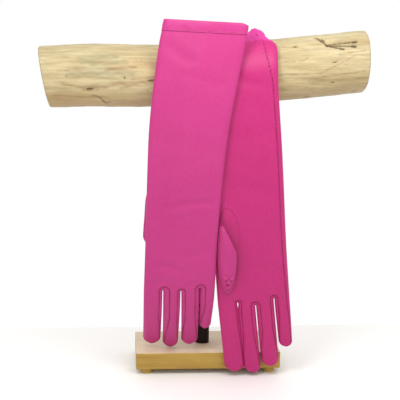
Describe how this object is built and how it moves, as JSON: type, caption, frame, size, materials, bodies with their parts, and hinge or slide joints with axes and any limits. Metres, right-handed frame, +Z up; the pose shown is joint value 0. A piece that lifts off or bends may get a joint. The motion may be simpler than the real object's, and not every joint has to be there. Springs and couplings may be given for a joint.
{
  "type": "pair of elbow-length dress gloves on a log stand",
  "caption": "Long stretch-satin dress gloves, flat and empty, hung over a peeled log that a round post carries above a rectangular wooden board on small feet.",
  "frame": {"origin": "centre of the object's box in X and Y, on the surface that the feet rest on", "axes": "+Z up, -Y towards the front, where the gloves hang, +X along the log to the right as seen from the front"},
  "size_m": [0.3906, 0.1054, 0.4277],
  "materials": {
    "board_wood": "satin",
    "black_paint": "gloss",
    "peeled_wood": "matt",
    "pink_satin": "satin",
    "pink_satin_hem": "satin"
  },
  "bodies": {
    "root": {"base_board": "board_wood", "foot_back_left": "board_wood", "foot_back_right": "board_wood", "foot_front_left": "board_wood", "foot_front_right": "board_wood", "post": "black_paint", "log": "peeled_wood", "left_glove_back": "pink_satin", "left_glove_palm": "pink_satin", "left_glove_side_strip_index_middle": "pink_satin", "left_glove_side_strip_middle_ring": "pink_satin", "left_glove_side_strip_ring_little": "pink_satin", "left_glove_cuff_hem": "pink_satin_hem", "left_glove_thumb": "pink_satin", "right_glove_back": "pink_satin", "right_glove_palm": "pink_satin", "right_glove_side_strip_index_middle": "pink_satin", "right_glove_side_strip_middle_ring": "pink_satin", "right_glove_side_strip_ring_little": "pink_satin", "right_glove_cuff_hem": "pink_satin_hem", "right_glove_thumb": "pink_satin"}
  },
  "joints": []
}
